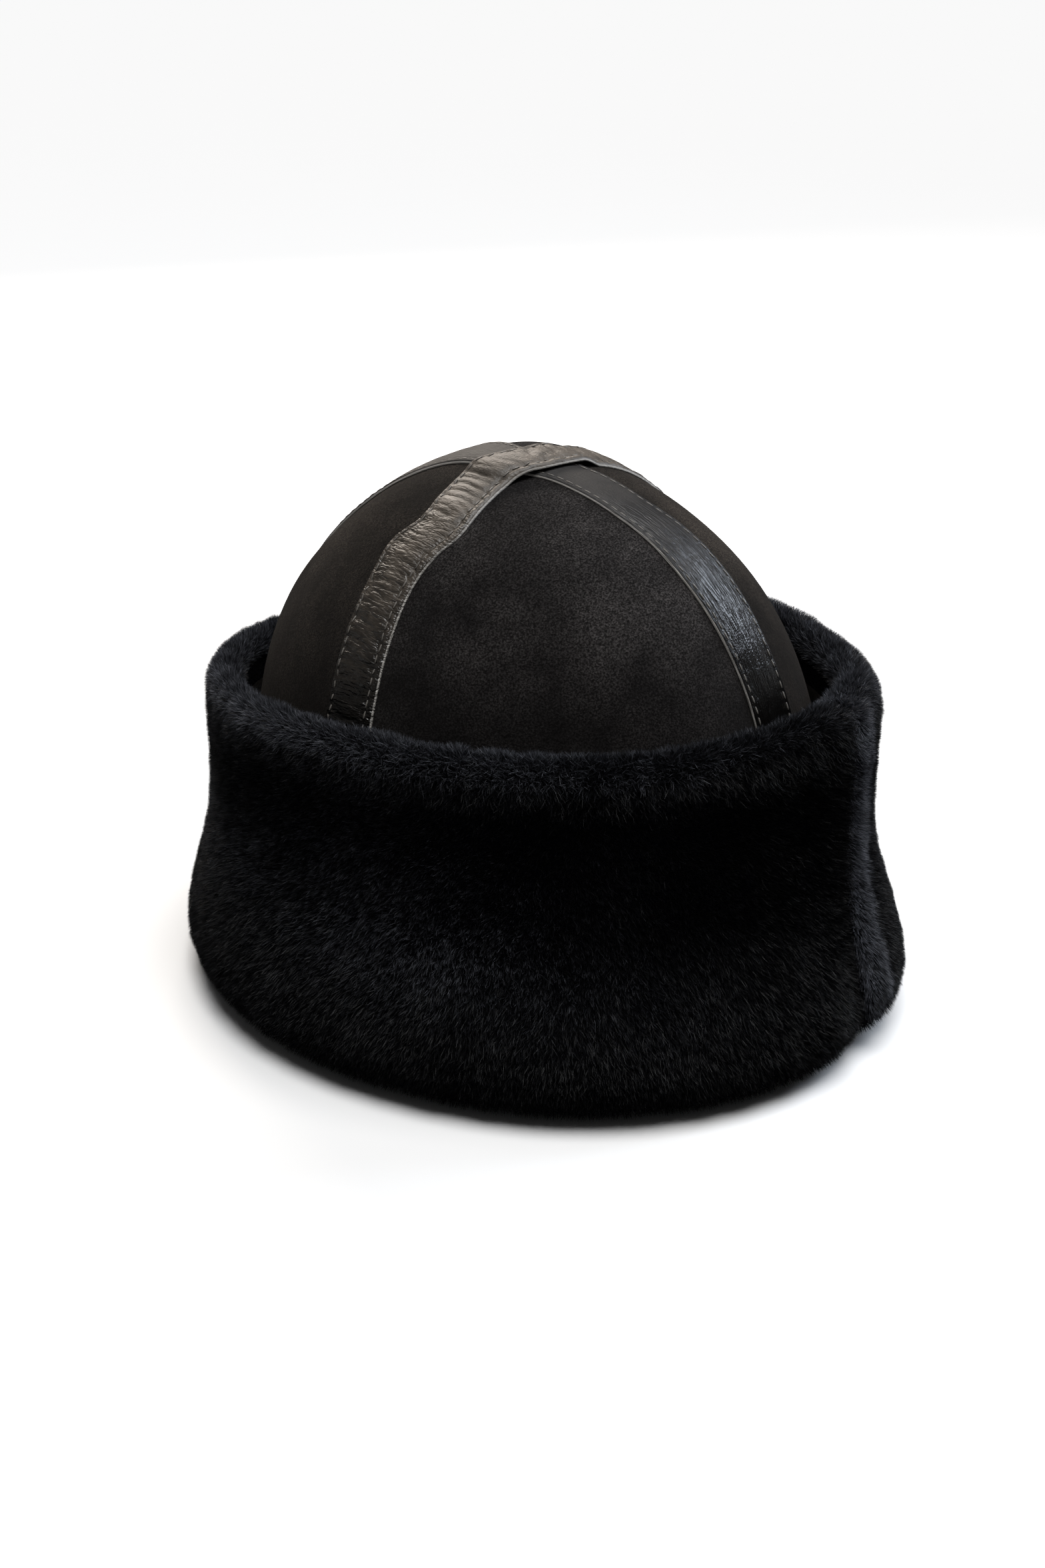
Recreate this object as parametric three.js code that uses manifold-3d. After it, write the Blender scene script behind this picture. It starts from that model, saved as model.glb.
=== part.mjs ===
import * as THREE from 'three';
import { LoftGeometry } from 'three/addons/geometries/LoftGeometry.js';
import { mergeVertices } from 'three/addons/utils/BufferGeometryUtils.js';
import Module from 'manifold-3d';

// A sheepskin hat in millimetres, +Z up, standing on the fold of its cuff.
// X runs across the head and Y along it. The two ends of the cuff meet at the back, at +Y.
// The origin is on the ground, in the middle of the hat.

// Driving sizes of the crown
const CROWN_HALF_WIDTH = 94.5;
const CROWN_LENGTH_TO_WIDTH = 1.169;
const CROWN_WIDEST_HEIGHT = 92;
const CROWN_TOP = 199.5;
const CROWN_BASE = 38.4;
const CROWN_BASE_PINCH = 2.7;
const CROWN_SIDE_HEIGHTS = [58, 75];
const CROWN_LEAN = { x: 3.5, y: 1.5 };
const SKIN_THICKNESS = 8;
const DOME_RISE_POWER = 1.8;
const DOME_ROUND_POWER = 1 / 2.07;
const LEAN_POWER = 1.5;
const DOME_RINGS = 10;
const CROWN_SIDES = 52;
const CUTTER = { reach: 300, height: 220 };

// Driving sizes of the leather bands. The four panels meet a little off the top of the dome, at
// the seam crossing, and each band runs both ways from there.
const SEAM_CROSSING = { x: 8.1, y: 7.7 };
const LEATHER_THICKNESS = 1.2;
const BAND_CLEARANCE = 0.4;
const BAND_BASE = 41.2;
const OVER_BAND_TURN = -9;
const UNDER_BAND_TURN = 94;
const OVERLAP = { x: 11.5, y: 11.8, lift: 1.6, flatRadius: 26, endRadius: 40 };
const BAND_STEPS = 26;

// The bands waver as they were sewn. A row says how far along the band it is from the seam
// crossing, how far the middle of the band has strayed to its left, and how wide the band is.
const OVER_BAND = [
  { along: -134, stray: -5.0, width: 23.0 },
  { along: -88, stray: -4.0, width: 23.0 },
  { along: -60, stray: -1.0, width: 22.0 },
  { along: -34, stray: 3.5, width: 20.0 },
  { along: -18, stray: 5.7, width: 18.0 },
  { along: -6, stray: 6.2, width: 17.0 },
  { along: 4, stray: 3.7, width: 18.5 },
  { along: 16, stray: -2.2, width: 21.5 },
  { along: 29, stray: -1.5, width: 21.5 },
  { along: 42, stray: -0.2, width: 21.0 },
  { along: 51, stray: -4.6, width: 23.0 },
  { along: 61, stray: -5.5, width: 21.3 },
  { along: 74, stray: -4.9, width: 22.0 },
  { along: 84, stray: -4.5, width: 22.5 },
  { along: 126, stray: -4.8, width: 23.0 },
];
const UNDER_BAND = [
  { along: -136, stray: 3.0, width: 24.0 },
  { along: -90, stray: 3.0, width: 24.0 },
  { along: -56, stray: 4.0, width: 23.0 },
  { along: -34, stray: 4.5, width: 21.5 },
  { along: -16, stray: 0.5, width: 19.0 },
  { along: -4, stray: -3.0, width: 18.0 },
  { along: 14, stray: -1.3, width: 17.0 },
  { along: 28, stray: -0.7, width: 18.6 },
  { along: 42, stray: -0.8, width: 19.2 },
  { along: 54, stray: 1.0, width: 22.0 },
  { along: 66, stray: 2.3, width: 24.6 },
  { along: 78, stray: 2.7, width: 24.5 },
  { along: 90, stray: 2.0, width: 23.0 },
  { along: 124, stray: 1.0, width: 23.0 },
];

// Driving sizes of the cuff. Its wall starts in a short leg that is sewn under the panels, folds
// at the ground and is turned up on the outside as far as the rounded rim. A row is one place
// along that wall, and gives the furred side and the skin side: the half width of the oval there
// and the height, and how much longer than wide the half oval is.
const CUFF_WALL = [
  { furWide: 83.4, furHigh: 38.0, skinWide: 91.2, skinHigh: 38.0, longer: 15.4 },
  { furWide: 83.2, furHigh: 27.0, skinWide: 91.3, skinHigh: 29.0, longer: 15.4 },
  { furWide: 83.9, furHigh: 15.0, skinWide: 91.8, skinHigh: 22.0, longer: 15.6 },
  { furWide: 87.2, furHigh: 5.0, skinWide: 93.4, skinHigh: 18.2, longer: 16.5 },
  { furWide: 94.0, furHigh: 0.0, skinWide: 96.6, skinHigh: 16.6, longer: 17.5 },
  { furWide: 112.0, furHigh: 0.0, skinWide: 101.4, skinHigh: 17.2, longer: 19.5 },
  { furWide: 120.8, furHigh: 5.0, skinWide: 104.8, skinHigh: 19.8, longer: 20.6 },
  { furWide: 124.9, furHigh: 15.6, skinWide: 107.2, skinHigh: 25.0, longer: 21 },
  { furWide: 124.2, furHigh: 25.5, skinWide: 108.0, skinHigh: 32.0, longer: 21 },
  { furWide: 120.8, furHigh: 38.0, skinWide: 106.8, skinHigh: 42.0, longer: 21 },
  { furWide: 116.5, furHigh: 52.0, skinWide: 104.6, skinHigh: 54.0, longer: 21 },
  { furWide: 113.4, furHigh: 66.0, skinWide: 102.4, skinHigh: 66.0, longer: 21 },
  { furWide: 112.7, furHigh: 80.0, skinWide: 101.0, skinHigh: 80.0, longer: 21 },
  { furWide: 113.3, furHigh: 96.0, skinWide: 100.0, skinHigh: 94.0, longer: 20.6 },
  { furWide: 114.2, furHigh: 108.0, skinWide: 97.4, skinHigh: 106.0, longer: 20.2 },
];
const RIM = { inner: 95.4, outer: 113.8, high: 116, top: 127.4, longer: 20, arcSteps: 8 };
const CUFF_STATIONS = 50;

// The cuff isn't even around the head. A row gives, for one direction around the oval in degrees,
// how much higher and further out the rim lies there, and how much further out the foot bulges.
// The zones say at which heights, and how far out, each of these sets in and is at its full value.
const WAVER = [
  { around: 0, rimRise: 2.4, rimOut: 0, footOut: 1.8 },
  { around: 45, rimRise: 1.5, rimOut: 0, footOut: 4 },
  { around: 90, rimRise: 4, rimOut: 0, footOut: 3 },
  { around: 135, rimRise: -1, rimOut: 0, footOut: -1 },
  { around: 180, rimRise: 2, rimOut: 0.5, footOut: 1.8 },
  { around: 225, rimRise: 0, rimOut: 0, footOut: 4 },
  { around: 270, rimRise: -6.5, rimOut: -6, footOut: 3 },
  { around: 315, rimRise: -2.8, rimOut: -2.7, footOut: 0 },
];

const RIM_ZONE = { from: 60, full: 120 };
const FOOT_ZONE = { from: 60, full: 18, fromWide: 100, fullWide: 113 };
const END_ZONE = { from: 28, full: 62 };

// The slit between the two ends, and how each end is rounded over. The end on the wearer's right
// stands out past the other, and its foot is lifted a little.
const SLIT = { around: 92.4, halfGap: 0.5 };
const RIGHT_SIDE_END = { round: 8, thinnest: 0.45, proud: 3.5, proudReach: 26, footLift: 3, footReach: 18 };
const LEFT_SIDE_END = { round: 9, thinnest: 0.45, proud: -1, proudReach: 22, footLift: 0, footReach: 1 };
const END_STATIONS = [0, 1.6, 4, 8, 13, 19];

const SUEDE = { color: 0x1e1714, roughness: 0.95, metalness: 0 };
const LEATHER = { color: 0x2e2521, roughness: 0.45, metalness: 0 };
const FUR = { color: 0x111013, roughness: 0.9, metalness: 0 };

const toRadians = THREE.MathUtils.degToRad;
const smooth = THREE.MathUtils.smoothstep;
const wrap = THREE.MathUtils.euclideanModulo;

// Solids for cutting and joining
const wasm = await Module();
wasm.setup();

function toSolid(geometry) {
  const bare = geometry.clone();
  bare.deleteAttribute('normal');
  bare.deleteAttribute('uv');
  const merged = mergeVertices(bare, 1e-4);
  const corners = merged.index.array;
  const triVerts = [];
  for (let i = 0; i < corners.length; i += 3) {
    const [a, b, c] = corners.slice(i, i + 3);
    if (a !== b && b !== c && c !== a) triVerts.push(a, b, c);
  }
  return new wasm.Manifold(new wasm.Mesh({
    numProp: 3,
    vertProperties: new Float32Array(merged.attributes.position.array),
    triVerts: new Uint32Array(triVerts),
  }));
}

function toGeometry(solid) {
  const mesh = solid.getMesh();
  const geometry = new THREE.BufferGeometry();
  geometry.setAttribute('position', new THREE.BufferAttribute(mesh.vertProperties, 3));
  geometry.setIndex(new THREE.BufferAttribute(mesh.triVerts, 1));
  geometry.computeVertexNormals();
  return geometry;
}

// Outline of the crown's side and dome from its foot to its top, a given distance outside the
// suede (or inside it, when the distance is less than nothing)
function crownOutline(distance, base) {
  const points = [];
  const halfWidth = CROWN_HALF_WIDTH + distance;
  const rise = CROWN_TOP + distance - CROWN_WIDEST_HEIGHT;
  const below = CROWN_WIDEST_HEIGHT - CROWN_BASE;
  const heights = [...new Set([base, BAND_BASE, ...CROWN_SIDE_HEIGHTS])];
  for (const height of heights) {
    const pinch = CROWN_BASE_PINCH * ((CROWN_WIDEST_HEIGHT - height) / below) ** 2;
    points.push(new THREE.Vector2(halfWidth - pinch, height));
  }
  for (let ring = 0; ring < DOME_RINGS; ring++) {
    const up = Math.sin(ring / DOME_RINGS * Math.PI / 2);
    const radius = halfWidth * (1 - up ** DOME_RISE_POWER) ** DOME_ROUND_POWER;
    points.push(new THREE.Vector2(radius, CROWN_WIDEST_HEIGHT + rise * up));
  }
  points.push(new THREE.Vector2(0, CROWN_TOP + distance));
  return points;
}

// Closed shell between two distances from the suede, made oval and leaned as the crown is
function crownShell(innerDistance, outerDistance, base, lift = 0) {
  const outer = crownOutline(outerDistance, base);
  const inner = crownOutline(innerDistance, base).reverse();
  const profile = [...inner, ...outer];
  const geometry = new THREE.LatheGeometry(profile, CROWN_SIDES);
  geometry.rotateX(Math.PI / 2);
  const position = geometry.attributes.position;
  for (let i = 0; i < position.count; i++) {
    const x = position.getX(i);
    const y = position.getY(i);
    const z = position.getZ(i);
    const up = Math.max(0, (z - CROWN_WIDEST_HEIGHT) / (CROWN_TOP - CROWN_WIDEST_HEIGHT));
    const lean = up ** LEAN_POWER;
    const leanedX = x + CROWN_LEAN.x * lean;
    const leanedY = y * CROWN_LENGTH_TO_WIDTH + CROWN_LEAN.y * lean;
    const fromOverlap = Math.hypot(leanedX - OVERLAP.x, leanedY - OVERLAP.y);
    const raised = lift * (1 - smooth(fromOverlap, OVERLAP.flatRadius, OVERLAP.endRadius));
    position.setXYZ(i, leanedX, leanedY, z + raised);
  }
  return toSolid(geometry);
}

// Tall prism standing on a flat outline, for cutting the shells
function uprightPrism(outline) {
  const shape = new THREE.Shape(outline);
  const geometry = new THREE.ExtrudeGeometry(shape, { depth: CUTTER.height, bevelEnabled: false });
  return toSolid(geometry);
}

// One quarter of the crown, between the middle lines of two neighbouring bands
function crownPanel(shell, fromDegrees, toDegrees) {
  const from = toRadians(fromDegrees);
  const to = toRadians(toDegrees);
  const middle = (from + to) / 2;
  const back = BAND_CLEARANCE / 2 / Math.sin((to - from) / 2);
  const corner = new THREE.Vector2(
    SEAM_CROSSING.x + back * Math.cos(middle),
    SEAM_CROSSING.y + back * Math.sin(middle),
  );
  const along = (angle) => new THREE.Vector2(
    corner.x + CUTTER.reach * Math.cos(angle),
    corner.y + CUTTER.reach * Math.sin(angle),
  );
  return shell.intersect(uprightPrism([corner, along(from), along(middle), along(to)]));
}

// Leather band: the strip of a thin shell that stands over a wavering outline
function seamBand(rows, turn, lift) {
  const line = new THREE.SplineCurve(rows.map((row) => new THREE.Vector2(row.along, row.stray)));
  const widths = new THREE.SplineCurve(rows.map((row) => new THREE.Vector2(row.along, row.width)));
  const left = [];
  const right = [];
  for (let step = 0; step <= BAND_STEPS; step++) {
    const middle = line.getPoint(step / BAND_STEPS);
    const half = widths.getPoint(step / BAND_STEPS).y / 2;
    left.push(new THREE.Vector2(middle.x, middle.y + half));
    right.push(new THREE.Vector2(middle.x, middle.y - half));
  }
  const crossing = new THREE.Vector2(SEAM_CROSSING.x, SEAM_CROSSING.y);
  const outline = [...right, ...left.reverse()].map((point) => (
    point.rotateAround(new THREE.Vector2(), toRadians(turn)).add(crossing)
  ));
  const outside = BAND_CLEARANCE + LEATHER_THICKNESS;
  return crownShell(BAND_CLEARANCE, outside, BAND_BASE, lift).intersect(uprightPrism(outline));
}

// Closed section of the cuff's wall: the fur side from the leg's top to the rim, over the rim,
// and back along the skin side. Each point knows the point it is opposite to.
function cuffSection() {
  const fur = CUFF_WALL.map((row) => ({
    wide: row.furWide,
    high: row.furHigh,
    middleWide: (row.furWide + row.skinWide) / 2,
    middleHigh: (row.furHigh + row.skinHigh) / 2,
    longer: row.longer,
  }));
  const skin = CUFF_WALL.map((row, i) => ({ ...fur[i], wide: row.skinWide, high: row.skinHigh }));
  const middleWide = (RIM.inner + RIM.outer) / 2;
  const rim = [];
  for (let step = 0; step <= RIM.arcSteps; step++) {
    const angle = step / RIM.arcSteps * Math.PI;
    rim.push({
      wide: middleWide + (RIM.outer - RIM.inner) / 2 * Math.cos(angle),
      high: RIM.high + (RIM.top - RIM.high) * Math.sin(angle),
      middleWide,
      middleHigh: RIM.high,
      longer: RIM.longer,
    });
  }
  return [...fur, ...rim, ...skin.reverse()].reverse();
}

// The waver's value in one column, at any direction around the oval
function waver(column, angle) {
  const degrees = wrap(THREE.MathUtils.radToDeg(angle), 360);
  const row = WAVER.findLastIndex((entry) => entry.around <= degrees);
  const from = WAVER[row];
  const to = WAVER[(row + 1) % WAVER.length];
  const way = (degrees - from.around) / wrap(to.around - from.around, 360);
  return THREE.MathUtils.lerp(from[column], to[column], smooth(way, 0, 1));
}

// Where a point of the section lies on the oval, at an angle and a distance from the nearer end
function cuffPoint(point, angle, distance, end) {
  const rounding = Math.min(1, distance / end.round);
  const fullness = end.thinnest + (1 - end.thinnest) * Math.sqrt(1 - (1 - rounding) ** 2);
  let wide = point.middleWide + (point.wide - point.middleWide) * fullness;
  let high = point.middleHigh + (point.high - point.middleHigh) * fullness;
  const rimShare = smooth(high, RIM_ZONE.from, RIM_ZONE.full);
  const outerShare = smooth(point.wide, RIM.inner, RIM.outer);
  const endShare = smooth(high, END_ZONE.from, END_ZONE.full);
  const lowShare = 1 - smooth(high, FOOT_ZONE.full, FOOT_ZONE.from);
  const footShare = lowShare * smooth(wide, FOOT_ZONE.fromWide, FOOT_ZONE.fullWide);
  wide += end.proud * (1 - smooth(distance, 0, end.proudReach)) * endShare;
  wide += waver('rimOut', angle) * rimShare * outerShare + waver('footOut', angle) * footShare;
  high += waver('rimRise', angle) * rimShare;
  high += end.footLift * (1 - smooth(distance, 0, end.footReach)) * footShare;
  const long = wide + point.longer;
  return new THREE.Vector3(wide * Math.cos(angle), long * Math.sin(angle), high);
}

// The cuff is one strip bent round the head, from the end on the wearer's right to the other
function furCuff() {
  const section = cuffSection();
  const gapAngle = SLIT.halfGap / RIM.outer;
  const evenFrom = gapAngle + END_STATIONS[END_STATIONS.length - 1] / RIM.outer;
  const sweep = 2 * Math.PI - 2 * evenFrom;
  const stations = [];
  for (const distance of END_STATIONS) {
    stations.push({ angle: gapAngle + distance / RIM.outer, distance, end: RIGHT_SIDE_END });
  }
  for (let i = 1; i < CUFF_STATIONS; i++) {
    const angle = evenFrom + sweep * i / CUFF_STATIONS;
    const distance = RIM.outer * Math.min(angle, 2 * Math.PI - angle);
    const end = angle < Math.PI ? RIGHT_SIDE_END : LEFT_SIDE_END;
    stations.push({ angle, distance, end });
  }
  for (const distance of [...END_STATIONS].reverse()) {
    const angle = 2 * Math.PI - gapAngle - distance / RIM.outer;
    stations.push({ angle, distance, end: LEFT_SIDE_END });
  }
  const sections = stations.map(({ angle, distance, end }) => (
    section.map((point) => cuffPoint(point, toRadians(SLIT.around) + angle, distance, end))
  ));
  return new LoftGeometry(sections, { capStart: true, capEnd: true });
}

function piece(name, geometry, finish) {
  const mesh = new THREE.Mesh(geometry, new THREE.MeshStandardMaterial(finish));
  mesh.name = name;
  return mesh;
}

const hat = new THREE.Group();

// Four suede panels, named as the wearer sees them
const shell = crownShell(-SKIN_THICKNESS, 0, CROWN_BASE);
const PANELS = [
  { name: 'crown_panel_back_left', from: OVER_BAND_TURN, to: UNDER_BAND_TURN },
  { name: 'crown_panel_back_right', from: UNDER_BAND_TURN, to: OVER_BAND_TURN + 180 },
  { name: 'crown_panel_front_right', from: OVER_BAND_TURN + 180, to: UNDER_BAND_TURN + 180 },
  { name: 'crown_panel_front_left', from: UNDER_BAND_TURN + 180, to: OVER_BAND_TURN + 360 },
];
for (const { name, from, to } of PANELS) {
  hat.add(piece(name, toGeometry(crownPanel(shell, from, to)), SUEDE));
}

hat.add(piece('seam_band_under', toGeometry(seamBand(UNDER_BAND, UNDER_BAND_TURN, 0)), LEATHER));
hat.add(piece('seam_band_over', toGeometry(seamBand(OVER_BAND, OVER_BAND_TURN, OVERLAP.lift)), LEATHER));
hat.add(piece('fur_cuff', furCuff(), FUR));

export default hat;
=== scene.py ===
# %% [markdown]
# A sheepskin hat, standing on the fold of its cuff as it would on a shelf. Four pieces of
# sheepskin with the suede side out make its dome, two strips of thin leather cross over their
# seams, and a deep cuff is turned up all round with the wool side out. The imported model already
# holds the true sizes and places. This file makes the looks in that same frame, in metres.

# %% Load the frame
import math

import bmesh
import bpy
import numpy as np
from mathutils import Matrix, Vector, noise


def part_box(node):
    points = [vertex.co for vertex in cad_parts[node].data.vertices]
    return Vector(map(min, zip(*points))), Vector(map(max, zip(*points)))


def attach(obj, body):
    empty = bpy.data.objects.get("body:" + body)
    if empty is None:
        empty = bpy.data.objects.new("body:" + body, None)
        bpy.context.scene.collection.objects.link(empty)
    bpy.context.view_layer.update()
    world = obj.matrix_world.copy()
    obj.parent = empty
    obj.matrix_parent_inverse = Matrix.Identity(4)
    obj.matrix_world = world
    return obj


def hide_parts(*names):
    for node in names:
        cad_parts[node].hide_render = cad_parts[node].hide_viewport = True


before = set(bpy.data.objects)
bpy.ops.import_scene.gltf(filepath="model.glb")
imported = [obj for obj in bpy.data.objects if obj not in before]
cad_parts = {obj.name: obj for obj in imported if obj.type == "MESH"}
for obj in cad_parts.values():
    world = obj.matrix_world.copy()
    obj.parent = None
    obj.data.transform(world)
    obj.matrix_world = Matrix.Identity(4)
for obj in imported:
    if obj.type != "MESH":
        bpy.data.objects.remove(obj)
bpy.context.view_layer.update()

print("parts in the frame:", ", ".join(sorted(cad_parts)))

# %% [markdown]
# Every piece is modelled in the same few steps, so they are written once here. A piece is opened
# alone in edit mode with nothing selected, because an operator acts on all that is selected.
# Numbers for its points go in and out as one array, which is far quicker than point by point.
# Blender starts part of its noise from the clock, so a fixed seed is set: every run then draws
# the same creases and the same leanings of the hairs.

# %% Helpers for modelling
MM = 0.001
noise.seed_set(11)


class Editing:
    """Opens one piece in edit mode with nothing selected, and closes it again."""

    def __init__(self, piece):
        self.piece = piece

    def __enter__(self):
        make_active(self.piece)
        bpy.ops.object.mode_set(mode="EDIT")
        bpy.ops.mesh.select_all(action="DESELECT")

    def __exit__(self, *problem):
        bpy.ops.object.mode_set(mode="OBJECT")


def make_active(piece):
    bpy.ops.object.select_all(action="DESELECT")
    piece.select_set(True)
    bpy.context.view_layer.objects.active = piece


def points_of(piece):
    points = np.empty(len(piece.data.vertices) * 3, np.float32)
    piece.data.vertices.foreach_get("co", points)
    return points.reshape(-1, 3).astype(float)


def set_points(piece, points):
    piece.data.vertices.foreach_set("co", np.ravel(points).astype(np.float32))
    piece.data.update()


def normals_of(piece):
    normals = np.empty(len(piece.data.vertices) * 3, np.float32)
    piece.data.vertex_normals.foreach_get("vector", normals)
    return normals.reshape(-1, 3).astype(float)


def apply_modifier(piece, kind, **settings):
    modifier = piece.modifiers.new(kind.title(), kind)
    for name, value in settings.items():
        setattr(modifier, name, value)
    make_active(piece)
    bpy.ops.object.modifier_apply(modifier=modifier.name)


def triangles_in(piece):
    piece.data.calc_loop_triangles()
    return len(piece.data.loop_triangles)


def smoothstep(value, low, high):
    share = np.clip((value - low) / (high - low), 0, 1)
    return share * share * (3 - 2 * share)


def noise_at(points, size, shift=0.0):
    """One smooth random number for each point, in swells about as wide as size."""
    return np.array([noise.noise(point) for point in points / size + shift])


def drift_at(points, size, shift=0.0):
    """The same with three numbers for each point, as a direction to drift in."""
    return np.array([noise.noise_vector(point)[:] for point in points / size + shift])


# %% [markdown]
# Several outlines are a few numbers that a smooth line runs through. They are written as small
# tables with a name over each column, and a spline reads them at any place between the rows.

# %% Tables and splines
def table(text):
    """The columns of a small written table, by name."""
    names, *rows = [line.split() for line in text.strip().splitlines()]
    numbers = np.array(rows, float)
    return {name: numbers[:, i] for i, name in enumerate(names)}


def spline(values, at):
    """A smooth line through the values, read at row numbers that need not be whole."""
    last = len(values) - 1
    row = np.clip(np.floor(at).astype(int), 0, last - 1)
    way = at - row
    before, here = values[np.maximum(row - 1, 0)], values[row]
    there, after = values[row + 1], values[np.minimum(row + 2, last)]
    leave, arrive = (there - before) / 2, (after - here) / 2
    bend = (2 * here - 2 * there + leave + arrive) * way**3
    bend += (3 * there - 3 * here - 2 * leave - arrive) * way**2
    return bend + leave * way + here


# %% [markdown]
# Shader maths is easier to read as sums than as chains of nodes. Value wraps one socket, so that
# an expression such as 1 - mask adds its own Math node. Finish holds one material, and its node
# method makes any other node from its type, its settings and what goes into its sockets.

# %% Helpers for materials
HAT_HEIGHT = 200 * MM


class Value:
    """A number or colour in a material. Sums on it add Math nodes."""

    def __init__(self, finish, socket):
        self.finish = finish
        self.socket = socket

    def math(self, operation, first, second):
        return self.finish.node("Math", {"operation": operation}, {0: first, 1: second})

    def __add__(self, other):
        return self.math("ADD", self, other)

    def __sub__(self, other):
        return self.math("SUBTRACT", self, other)

    def __rsub__(self, other):
        return self.math("SUBTRACT", other, self)

    def __mul__(self, other):
        return self.math("MULTIPLY", self, other)

    __radd__, __rmul__ = __add__, __mul__


class Finish:
    """One material, built up around its main shader."""

    def __init__(self, name, **constants):
        self.material = bpy.data.materials.new(name)
        self.material.use_nodes = True
        self.tree = self.material.node_tree
        self.shader = self.tree.nodes["Principled BSDF"]
        self.set(**constants)

    def feed(self, socket, value):
        if isinstance(value, Value):
            self.tree.links.new(value.socket, socket)
        else:
            socket.default_value = value

    def node(self, kind, settings=None, inputs=None, output=0):
        node = self.tree.nodes.new("ShaderNode" + kind)
        for name, value in (settings or {}).items():
            if name == "stops":
                self.set_stops(node.color_ramp, value)
            else:
                setattr(node, name, value)
        for name, value in (inputs or {}).items():
            self.feed(node.inputs[name], value)
        return Value(self, node.outputs[output])

    def set_stops(self, ramp, stops):
        for i, (place, level) in enumerate(stops):
            stop = ramp.elements[i] if i < 2 else ramp.elements.new(place)
            stop.position = place
            stop.color = (level, level, level, 1)

    def place(self):
        return self.node("TexCoord", output="Object")

    def noise(self, where, size, detail=2.0, roughness=0.5, distortion=0.0):
        inputs = {"Vector": where, "Scale": 1 / size, "Detail": detail}
        inputs.update(Roughness=roughness, Distortion=distortion)
        return self.node("TexNoise", None, inputs)

    def ramp(self, value, *stops):
        return self.node("ValToRGB", {"stops": stops}, {"Fac": value})

    def mix(self, share, first, second):
        settings = {"data_type": "RGBA"}
        inputs = {"Factor": share, 6: first, 7: second}
        return self.node("Mix", settings, inputs, output=2)

    def split(self, vector, axis):
        """One of the three numbers of a place: 0 for x, 1 for y, 2 for z."""
        return self.node("SeparateXYZ", None, {"Vector": vector}, output=axis)

    def by_height(self, where, *stops):
        """A ramp up the hat, with the height of each stop in millimetres."""
        share = self.split(where, 2) * (1 / HAT_HEIGHT)
        return self.ramp(share, *[(high * MM / HAT_HEIGHT, level) for high, level in stops])

    def furrows(self, strip, across, along):
        """Furrows across a strip, 0 in a furrow and 1 on the skin between, from its own map."""
        flat = self.node("Mapping", None, {"Vector": strip, "Scale": (across, along, 1)})
        level = self.noise(flat, 1, distortion=0.25)
        away = self.node("Math", {"operation": "ABSOLUTE"}, {0: level - 0.5})
        return self.ramp(away, (0.0, 0.0), (0.09, 0.8), (0.25, 1.0))

    def set(self, **inputs):
        for socket, value in inputs.items():
            self.feed(self.shader.inputs[socket.replace("_", " ")], value)

    def bump(self, height, depth, under=None):
        inputs = {"Height": height, "Distance": depth, "Strength": 1.0}
        if under:
            inputs["Normal"] = under
        return self.node("Bump", None, inputs)


# %% [markdown]
# Suede is the flesh side of the skin, brushed to a very short nap. It has almost no gloss, only a
# faint sheen where the nap stands up to the light, and it is never even: the nap lies this way
# here and that way there, which shows as soft cloudy patches. Three sizes of noise give the
# clouds, the mottling as of fingertips and the grain of the nap, and the grain is a bump too. It
# is darkest low down, beside the cuff. Two of the panels are browner.

# %% Suede
def make_suede(name, deep, lit):
    suede = Finish(
        name,
        Sheen_Weight=0.06,
        Sheen_Roughness=0.4,
        Sheen_Tint=(0.62, 0.55, 0.5, 1),
        Specular_IOR_Level=0.08,
    )
    where = suede.place()
    clouds = suede.noise(where, 42 * MM, 3, 0.55)
    patches = suede.noise(where, 12 * MM, 5, 0.65)
    nap = suede.noise(where, 0.65 * MM, 4, 0.75)
    lie = suede.ramp(clouds * 0.68 + patches * 0.32, (0.38, 0.0), (0.62, 1.0))
    ground = suede.mix(lie, deep, lit)
    grain = suede.ramp(nap, (0.44, 0.0), (0.65, 1.0))
    darker_low_down = suede.by_height(where, (120, 0.35), (160, 1.0))
    suede.set(
        Base_Color=suede.mix((grain * 0.93 + 0.07) * darker_low_down, (0.003, 0.0025, 0.0025, 1), ground),
        Roughness=0.86 + lie * 0.1,
        Normal=suede.bump(nap, 0.5 * MM, suede.bump(patches, 0.8 * MM)),
    )
    return suede.material


black_suede = make_suede("black_suede", (0.02, 0.0188, 0.019, 1), (0.1, 0.092, 0.09, 1))
brown_suede = make_suede("brown_suede", (0.017, 0.0145, 0.012, 1), (0.085, 0.071, 0.059, 1))
print("made", black_suede.name, "and", brown_suede.name)
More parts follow.
